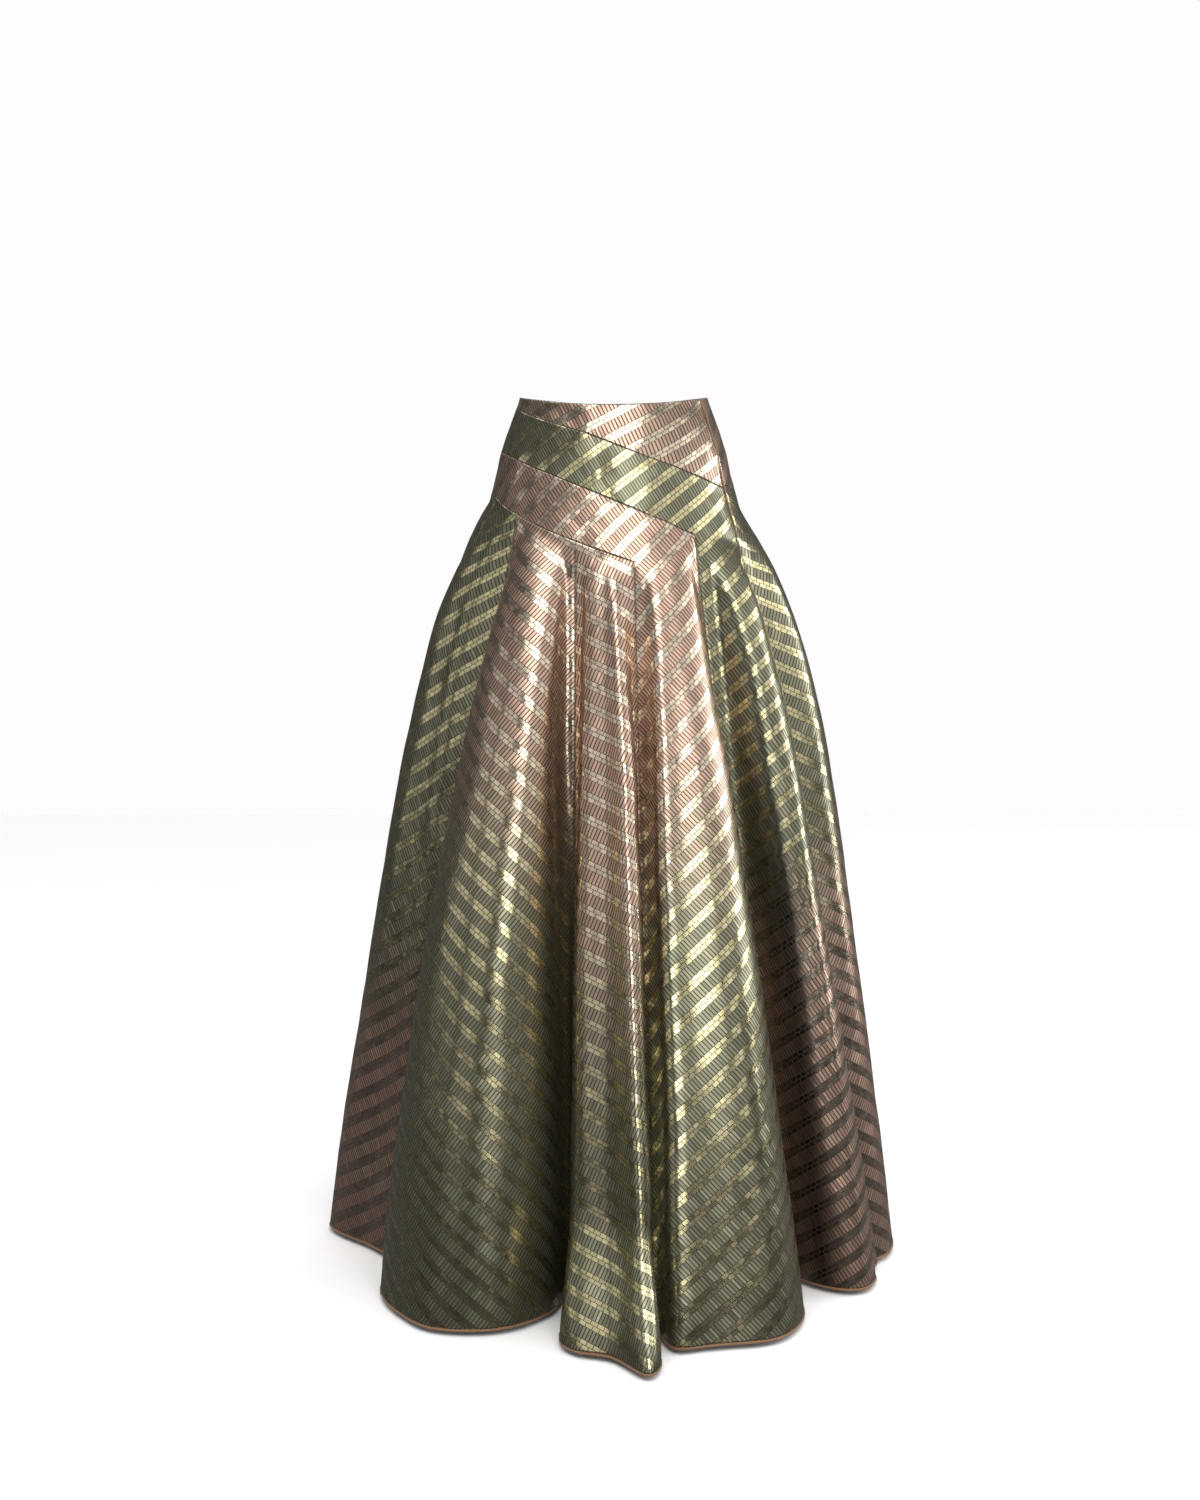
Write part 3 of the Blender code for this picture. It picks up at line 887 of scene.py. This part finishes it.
def tile_cloth(n):
    """Metallic tiles in stripes: a band of tall narrow tiles, then two rows of small brick tiles."""
    cloth = bpy.context.scene.lehenga_cloth
    cut_map = n.add("ShaderNodeUVMap", uv_map="cut").outputs[0]
    along, across, _ = n.split(cut_map)

    # Which stripe a point is in, and how far across that stripe
    stripes = n.math("DIVIDE", across, cloth.stripe_period)
    stripe = n.math("FLOOR", stripes)
    into = n.math("MULTIPLY", n.math("FRACT", stripes), cloth.stripe_period)
    tall_width = cloth.stripe_period * cloth.tall_share
    brick_height = (cloth.stripe_period - tall_width) / 2
    tall = n.math("LESS_THAN", into, tall_width)
    shift = n.math("MULTIPLY", stripe, STRIPE_SHIFT)

    # Tall tiles
    tall_along = n.math("ADD", n.math("DIVIDE", along, cloth.tall_pitch), shift)
    tall_across = n.math("DIVIDE", into, tall_width)
    # Brick tiles, each row half a tile along from the last
    brick_across = n.math("DIVIDE", n.math("SUBTRACT", into, tall_width), brick_height)
    brick_row = n.math("FLOOR", brick_across)
    brick_shift = n.math("MULTIPLY_ADD", brick_row, 0.5, shift)
    brick_along = n.math("ADD", n.math("DIVIDE", along, cloth.brick_pitch), brick_shift)

    tile_along = n.mix(tall, brick_along, tall_along)
    x = n.math("FRACT", tile_along)
    y = n.mix(tall, n.math("FRACT", brick_across), tall_across)
    row = n.mix(tall, n.math("ADD", brick_row, 1.0), 0.0)
    chance = n.add("ShaderNodeTexWhiteNoise", noise_dimensions="3D")
    n.put(chance.inputs["Vector"], n.vector(n.math("FLOOR", tile_along), stripe, row))
    chance_x, chance_y, chance_z = n.split(chance.outputs["Color"])

    # The thread that shows between tiles
    side_gap = n.mix(tall, cloth.brick_gap, cloth.tall_gap)
    end_gap = n.mix(tall, BRICK_END_GAP, TALL_END_GAP)
    in_side_gap = n.math("LESS_THAN", x, side_gap)
    in_end_gap = n.math("LESS_THAN", y, end_gap)
    thread = n.math("MAXIMUM", in_side_gap, in_end_gap)
    seam = n.attribute("seam")

    # Colours, from rose to green
    flip = n.math("MULTIPLY", n.math("SUBTRACT", chance_z, 0.5), GREEN_RANGE)
    green = n.math("ADD", n.attribute("green"), flip, clamp=True)
    tall_colour = n.colour(green, opaque(cloth.rose_tall), opaque(cloth.green_tall))
    brick_colour = n.colour(green, opaque(cloth.rose_brick), opaque(cloth.green_brick))
    thread_colour = n.colour(green, opaque(cloth.rose_thread), opaque(cloth.green_thread))
    tile_colour = n.colour(tall, brick_colour, tall_colour)
    least, more = TILE_BRIGHTNESS
    brightness = n.math("MULTIPLY_ADD", chance_x, more, least)
    least, more = PATCH_BRIGHTNESS
    patchy = n.math("MULTIPLY_ADD", n.noise(cut_map, 34.0), more, least)
    # Painted shade: the tile colour is darkened in the deep hollows
    lit = n.math("SUBTRACT", 1.0, n.attribute("hollow_painted_shade"))
    shaded = n.scaled(tile_colour, n.math("MULTIPLY", n.math("MULTIPLY", brightness, patchy), lit))
    base = n.colour(thread, shaded, thread_colour)
    # Dark seam line mixed in: partly the seam's thread, partly painted shade of the groove and the edge's
    # step
    base = n.colour(n.math("MULTIPLY", seam, SEAM_STRENGTH), base, opaque(cloth.seam_colour))

    # Each tile lies at its own small tilt, and the brick rows lean away from the tall ones
    lean_tile = n.mix(tall, cloth.brick_tilt, cloth.tall_tilt)
    lean_along = n.math("MULTIPLY", n.math("SUBTRACT", chance_x, 0.5), lean_tile)
    lean_across = n.math("MULTIPLY", n.math("SUBTRACT", chance_y, 0.5), lean_tile)
    ripple = n.noise(cut_map, 21.0, 1.0)
    ripple_along = n.math("MULTIPLY", n.math("SUBTRACT", ripple, 0.5), cloth.ripple_tilt)
    band_lean = n.mix(tall, cloth.brick_lean, cloth.tall_lean)
    tilt_along = n.math("ADD", n.math("ADD", lean_along, ripple_along), 0.5)
    tilt_across = n.math("ADD", n.math("ADD", lean_across, band_lean), 0.5)
    tilt = n.add("ShaderNodeNormalMap", space="TANGENT", uv_map="cut")
    n.put(tilt.inputs["Color"], n.vector(tilt_along, tilt_across, 1.0))

    tile_metal = n.mix(tall, BRICK_METAL, cloth.metal)
    covered = n.math("SUBTRACT", 1.0, n.math("MAXIMUM", thread, seam), clamp=True)
    tile_rough = n.mix(tall, cloth.brick_roughness, cloth.tall_roughness)
    rough = n.math("MULTIPLY_ADD", chance_z, ROUGHNESS_RANGE, tile_rough)
    return {
        "Base Color": base,
        "Metallic": n.math("MULTIPLY", covered, tile_metal),
        "Roughness": n.mix(thread, rough, THREAD_ROUGHNESS),
        "Normal": tilt.outputs[0],
        "Coat Weight": COAT_WEIGHT,
        "Coat Roughness": COAT_ROUGHNESS,
    }


def cloth_reverse(n):
    """The inside of the cloth: a dull woven ground."""
    place = n.add("ShaderNodeUVMap", uv_map="cut").outputs[0]
    weave = n.noise(place, 420.0, 1.0)
    patchy = n.noise(place, 12.0)
    rose_ground = (0.105, 0.066, 0.050, 1.0)
    green_ground = (0.052, 0.050, 0.030, 1.0)
    ground = n.colour(n.attribute("green"), rose_ground, green_ground)
    shade = n.math("MULTIPLY_ADD", n.math("MULTIPLY", weave, patchy), 1.1, 0.55)
    return {
        "Base Color": n.scaled(ground, shade),
        "Roughness": n.math("MULTIPLY_ADD", weave, 0.15, 0.75),
        "Normal": n.bump(weave, 0.3, 0.0004),
    }


def tan_binding(n):
    """Plain tan binding with a fine rib."""
    place = n.add("ShaderNodeTexCoord").outputs["Object"]
    grain = n.noise(place, 900.0, 1.0)
    patchy = n.noise(place, 22.0)
    shade = n.math("MULTIPLY_ADD", grain, 0.5, n.math("MULTIPLY_ADD", patchy, 0.5, 0.5))
    return {
        "Base Color": n.scaled(bpy.context.scene.lehenga_cloth.binding, shade),
        "Roughness": n.math("MULTIPLY_ADD", grain, 0.2, 0.5),
        "Normal": n.bump(grain, 0.4, 0.0003),
        "Sheen Weight": 0.2,
    }


def floor_finish(n):
    """Pale paper, very slightly uneven."""
    place = n.add("ShaderNodeTexCoord").outputs["Object"]
    darker, lighter = (0.91, 0.905, 0.91, 1.0), (0.94, 0.935, 0.94, 1.0)
    return {"Base Color": n.colour(n.noise(place, 1.3), darker, lighter), "Roughness": 0.85}


# Trim

ZIP_EDGE_BELOW_WAIST = 0.0015
ZIP_EDGE_HALF_THICK = 0.0009
ZIP_EDGE_WAVE = 0.0003
ZIP_EDGE_ROWS = 60


def ring_strip(name, sections, closed):
    """A strip with a closed cross-section: each section is a loop of points."""
    shape = bmesh.new()
    loops = [[shape.verts.new(point) for point in section] for section in sections]
    pairs = list(zip(loops, loops[1:] + loops[:1])) if closed else list(zip(loops, loops[1:]))
    for a, b in pairs:
        for i in range(len(a)):
            j = (i + 1) % len(a)
            shape.faces.new((a[i], a[j], b[j], b[i])).smooth = True
    if not closed:
        shape.faces.new(reversed(loops[0]))
        shape.faces.new(loops[-1])
    bmesh.ops.recalc_face_normals(shape, faces=shape.faces)
    return mesh_object(name, shape)


def strip_section(point, out, up, half_thick, half_high):
    """A rounded oblong of eight points across a strip."""
    cut = 0.55
    corners = ((1, cut), (cut, 1), (-cut, 1), (-1, cut), (-1, -cut), (-cut, -1), (cut, -1), (1, -cut))
    return [point + out * (half_thick * a) + up * (half_high * b) for a, b in corners]


def make_hem_binding():
    shape = bpy.context.scene.lehenga_shape
    sections = []
    height = HEM_HEIGHT + TAPE_HEIGHT / 2
    shares = panel_shares()
    for index in range(PANEL_COUNT):
        for share in shares[1:]:
            around = index + share
            _, normal = frame_at(around, height)
            point = cloth_point(around, height)
            up = (cloth_point(around, height + STEP_UP) - point).normalized()
            sections.append(strip_section(point, normal, up, shape.binding_thickness / 2, TAPE_HEIGHT / 2))
    piece = ring_strip("hem_binding_tape", sections, True)
    piece.data.materials.append(finish("tan_rib_binding", tan_binding))
    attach(piece, "root")
    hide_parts("hem_binding")


def make_zip_edge():
    """The tan edge of the zip opening, a narrow roll over the side seam."""
    sections = []
    top = waist_top(yoke_degrees(ZIP_SEAM)) - ZIP_EDGE_BELOW_WAIST
    for height in evenly(top, ZIP_BOTTOM, ZIP_EDGE_ROWS):
        point, normal = frame_at(ZIP_SEAM, height)
        sideways = Vector((-normal.y, normal.x, 0.0)).normalized()
        lift = ZIP_EDGE_HALF_THICK + ZIP_EDGE_WAVE * noise.noise(Vector((0.0, 3.3, height * 80.0)))
        place = point + normal * lift
        sections.append(strip_section(place, normal, sideways, ZIP_EDGE_HALF_THICK, ZIP_EDGE_WIDTH / 2))
    piece = ring_strip("zip_edge_roll", sections, False)
    piece.data.materials.append(finish("tan_rib_binding", tan_binding))
    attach(piece, "root")
    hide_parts("zip_edge")


# Settings shown in the sidebar


def setting(name, description, default, **kind):
    return FloatProperty(name=name, description=description, default=default, **kind)


def length_setting(name, description, default):
    return setting(name, description, default, unit="LENGTH")


def share_setting(name, description, default):
    return setting(name, description, default, subtype="FACTOR")


def colour_setting(name, description, default):
    kind = {"subtype": "COLOR", "min": 0, "max": 1}
    return FloatVectorProperty(name=name, description=description, default=default, **kind)


class LehengaShape(PropertyGroup):
    panel_columns: IntProperty(name="Columns", description="Mesh columns across a panel", default=34, min=8)
    panel_rows: IntProperty(name="Rows", description="Mesh rows down a panel", default=64, min=12)
    cloth_thickness: length_setting("Cloth thickness", "Thickness of the tile cloth", 0.0014)
    wrinkle_depth: length_setting("Wrinkle depth", "Height of the broad uneven waves", 0.0030)
    yoke_pull_depth: length_setting(
        "Yoke pull depth", "Height of the small cross pulls on the yoke", 0.0010
    )
    seam_depth: length_setting("Seam depth", "How far a panel seam sinks in", 0.0012)
    binding_thickness: length_setting("Binding thickness", "Thickness of the hem binding", 0.0030)


class LehengaCloth(PropertyGroup):
    stripe_period: length_setting("Stripe period", "From one stripe to the next", 0.0245)
    tall_share: share_setting("Tall band share", "Share of the period that the tall tiles take", 0.57)
    tall_pitch: length_setting("Tall tile pitch", "From one tall tile to the next", 0.0044)
    brick_pitch: length_setting("Brick tile pitch", "From one brick tile to the next", 0.0088)
    tall_gap: share_setting("Tall gap", "Share of a tall tile's pitch that is thread", 0.32)
    brick_gap: share_setting("Brick gap", "Share of a brick tile's pitch that is thread", 0.10)
    tall_tilt: setting("Tall tilt", "Random tilt of the tall tiles", 0.05)
    brick_tilt: setting("Brick tilt", "Random tilt of the brick tiles", 0.022)
    ripple_tilt: setting("Ripple", "Tilt shared by neighbouring tiles", 0.03)
    tall_lean: setting("Tall lean", "Lean of the tall tiles", -0.01)
    brick_lean: setting("Brick lean", "Lean of the brick tiles", 0.015)
    tall_roughness: share_setting("Tall roughness", "Roughness of the tall tiles", 0.32)
    brick_roughness: share_setting("Brick roughness", "Roughness of the brick tiles", 0.21)
    metal: share_setting("Metal", "How metallic the tall tiles are", 0.87)
    rose_tall: colour_setting("Rose tall tile", "Colour of rose tall tiles", (0.57, 0.385, 0.29))
    rose_brick: colour_setting("Rose brick tile", "Colour of champagne brick tiles", (0.74, 0.61, 0.47))
    rose_thread: colour_setting("Rose thread", "Thread between rose tiles", (0.042, 0.019, 0.011))
    green_tall: colour_setting("Green tall tile", "Colour of olive tall tiles", (0.235, 0.235, 0.15))
    green_brick: colour_setting("Green brick tile", "Colour of gold brick tiles", (0.64, 0.58, 0.325))
    green_thread: colour_setting("Green thread", "Thread between green tiles", (0.018, 0.017, 0.009))
    # Colour of the dark seam line, partly the seam's thread and partly painted shade
    seam_colour: colour_setting("Seam", "Shade of the cloth in the seams", (0.020, 0.014, 0.010))
    binding: colour_setting("Binding", "Colour of the hem binding and zip edge", (0.17, 0.085, 0.038))


class LehengaStudio(PropertyGroup):
    soft_power: setting("Soft lights", "Power that each soft light takes its share of", 45.0, unit="POWER")
    overhead_strength: setting("Overhead light", "Strength of the broad light from above", 2.85)
    world_strength: setting("Surroundings", "Brightness of the studio around the skirt", 0.55)
    camera_lens: setting("Lens", "Focal length of the camera", CAMERA_LENS_MM, unit="CAMERA")


# Operators, one for each group of like pieces and one for the stage


class LEHENGA_OT_back_panels(Operator):
    """Makes the three plain panels of the skirt's back and left side"""

    bl_idname = "lehenga.back_panels"
    bl_label = "Back panels"

    def execute(self, context):
        for index in (0, 1, 2):
            make_panel(index)
        return {"FINISHED"}


class LEHENGA_OT_banded_panels(Operator):
    """Makes the two panels that are cut in one piece with a band of the yoke"""

    bl_idname = "lehenga.banded_panels"
    bl_label = "Banded panels"

    def execute(self, context):
        left = around_at(LEFT_SIDE_DEG)
        make_banded_panel("rose_band_and_panel", 3, left, band_line, panel_top)
        make_banded_panel("green_band_and_panel", 4, left, wedge_line, band_line)
        return {"FINISHED"}


class LEHENGA_OT_front_panels(Operator):
    """Makes the panels of the right side and the front"""

    bl_idname = "lehenga.front_panels"
    bl_label = "Side and front panels"

    def execute(self, context):
        for index in (5, 6, 7, 8, 9):
            make_panel(index)
        return {"FINISHED"}


class LEHENGA_OT_yoke(Operator):
    """Makes the yoke's wedge at the back and its two front pieces"""

    bl_idname = "lehenga.yoke"
    bl_label = "Yoke"

    def execute(self, context):
        left = around_at(LEFT_SIDE_DEG)
        front_zip = ZIP_SEAM - PANEL_COUNT
        green_tip = around_at(BAND_SEAM[0].degrees)
        make_yoke_band("yoke_wedge_back", [(left, ZIP_SEAM, top_edge, wedge_line)])
        make_yoke_band("yoke_green_front", [(green_tip, left, top_edge, band_line)])
        rose = [(front_zip, green_tip, top_edge, panel_top), (green_tip, left, band_line, panel_top)]
        make_yoke_band("yoke_rose_front", rose)
        return {"FINISHED"}


class LEHENGA_OT_trim(Operator):
    """Makes the zip's edge and the hem binding"""

    bl_idname = "lehenga.trim"
    bl_label = "Zip edge and hem binding"

    def execute(self, context):
        make_zip_edge()
        make_hem_binding()
        return {"FINISHED"}


class SoftLight(NamedTuple):
    """A soft light: its bearing and elevation in degrees, its share of the power, and its size.

    A bearing of 0 is straight in front of the skirt's back, and 90 is the side with the zip.
    """

    name: str
    bearing: float
    elevation: float
    share: float
    width: float
    height: float


SOFT_LIGHTS = (
    SoftLight("key", 13, 20, 1.00, 1.4, 2.8),
    SoftLight("front_high", -12, 42, 0.42, 1.4, 1.6),
    SoftLight("right", 50, 16, 0.24, 1.5, 2.4),
    SoftLight("right_mid", 78, 18, 0.24, 1.3, 1.5),
    SoftLight("far_right", 104, 9, 0.76, 1.3, 1.5),
    SoftLight("left", -42, 10, 0.20, 2.2, 1.8),
    SoftLight("far_left", -86, 8, 0.11, 1.8, 1.5),
)
LIGHT_DISTANCE = 3.2
LIGHT_TARGET = Vector((0.0, 0.0, -0.5))
OVERHEAD_ANGLE_DEG = 95.0
FLOOR_HALF_SIZE = 3.4
FLOOR_BELOW_HEM = 0.006
SENSOR_WIDTH_MM = 36.0


class Glow(NamedTuple):
    """Light from the surroundings, eased along one axis from one direction to another."""

    axis: str
    start: float
    end: float
    at_start: float
    at_end: float


# From behind the skirt, from above and from below
GLOWS = (
    Glow("Y", -0.3, 0.9, 0.03, 0.14),
    Glow("Z", -0.05, 0.75, 0.0, 0.10),
    Glow("Z", -0.5, -0.02, 0.05, 0.0),
)
STUDIO_WHITE = (0.99, 0.975, 0.983, 1.0)


def soft_light(light, power):
    bearing, elevation = math.radians(light.bearing), math.radians(light.elevation)
    level = LIGHT_DISTANCE * math.cos(elevation)
    height = LIGHT_DISTANCE * math.sin(elevation)
    away = Vector((level * math.sin(bearing), -level * math.cos(bearing), height))
    lamp = add_object(light.name, bpy.data.lights.new(light.name, "AREA"))
    lamp.data.shape = "RECTANGLE"
    lamp.data.size, lamp.data.size_y = light.width, light.height
    lamp.data.energy = power * light.share
    lamp.location = LIGHT_TARGET + away
    lamp.rotation_euler = (-away).to_track_quat("-Z", "Y").to_euler()


def make_surroundings(strength):
    """White where the camera looks straight at it, and much dimmer as a light on the skirt."""
    world = bpy.data.worlds.new("studio")
    bpy.context.scene.world = world
    world.use_nodes = True
    n = Nodes(world.node_tree)
    direction = n.split(n.add("ShaderNodeTexCoord").outputs["Generated"])
    total = 0.0
    for glow in GLOWS:
        part = n.eased(direction[glow.axis], glow.start, glow.end, glow.at_start, glow.at_end)
        total = n.math("ADD", total, part)
    seen = n.add("ShaderNodeLightPath").outputs["Is Camera Ray"]
    background = n.tree.nodes["Background"].inputs
    n.put(background["Strength"], n.mix(seen, n.math("MULTIPLY", total, strength), 1.0))
    background["Color"].default_value = STUDIO_WHITE


class LEHENGA_OT_stage(Operator):
    """Makes the plain pale floor, the soft studio lights and the camera"""

    bl_idname = "lehenga.stage"
    bl_label = "Stage"

    def execute(self, context):
        studio = context.scene.lehenga_studio
        shape = bmesh.new()
        bmesh.ops.create_grid(shape, x_segments=2, y_segments=2, size=FLOOR_HALF_SIZE)
        floor = mesh_object("floor", shape)
        floor.data.materials.append(finish("studio_floor", floor_finish))
        floor.location.z = HEM_HEIGHT - FLOOR_BELOW_HEM
        floor.visible_glossy = False
        for light in SOFT_LIGHTS:
            soft_light(light, studio.soft_power)
        sun = add_object("overhead", bpy.data.lights.new("overhead", "SUN"))
        sun.data.energy = studio.overhead_strength
        sun.data.angle = math.radians(OVERHEAD_ANGLE_DEG)
        make_surroundings(studio.world_strength)
        camera = add_object("camera", bpy.data.cameras.new("camera"))
        camera.data.sensor_width = SENSOR_WIDTH_MM
        camera.data.lens = studio.camera_lens
        camera.location = CAMERA_PLACE
        camera.rotation_euler = (math.radians(90.0 - CAMERA_DOWN_DEG), 0.0, 0.0)
        context.scene.camera = camera
        context.scene.view_settings.view_transform = "Standard"
        return {"FINISHED"}


PIECE_OPERATORS = (
    LEHENGA_OT_back_panels,
    LEHENGA_OT_banded_panels,
    LEHENGA_OT_front_panels,
    LEHENGA_OT_yoke,
    LEHENGA_OT_trim,
    LEHENGA_OT_stage,
)


class LEHENGA_PT_sidebar(Panel):
    """Lists the pieces of the skirt and its settings"""

    bl_label = "Lehenga Skirt"
    bl_idname = "LEHENGA_PT_sidebar"
    bl_space_type = "VIEW_3D"
    bl_region_type = "UI"
    bl_category = "Lehenga"

    def draw(self, context):
        layout = self.layout
        for operator in PIECE_OPERATORS:
            layout.operator(operator.bl_idname)
        for group in SETTING_GROUPS:
            settings = getattr(context.scene, group)
            box = layout.box()
            for name in settings.bl_rna.properties.keys():
                if name not in ("rna_type", "name"):
                    box.prop(settings, name)


SETTING_GROUPS = {
    "lehenga_shape": LehengaShape,
    "lehenga_cloth": LehengaCloth,
    "lehenga_studio": LehengaStudio,
}
CLASSES = (*SETTING_GROUPS.values(), *PIECE_OPERATORS, LEHENGA_PT_sidebar)


def register():
    for cls in CLASSES:
        bpy.utils.register_class(cls)
    for name, group in SETTING_GROUPS.items():
        setattr(bpy.types.Scene, name, PointerProperty(type=group))


def unregister():
    for name in SETTING_GROUPS:
        delattr(bpy.types.Scene, name)
    for cls in reversed(CLASSES):
        bpy.utils.unregister_class(cls)


def main():
    register()
    for operator in PIECE_OPERATORS:
        getattr(bpy.ops.lehenga, operator.bl_idname.removeprefix("lehenga."))()


if __name__ == "__main__":
    main()
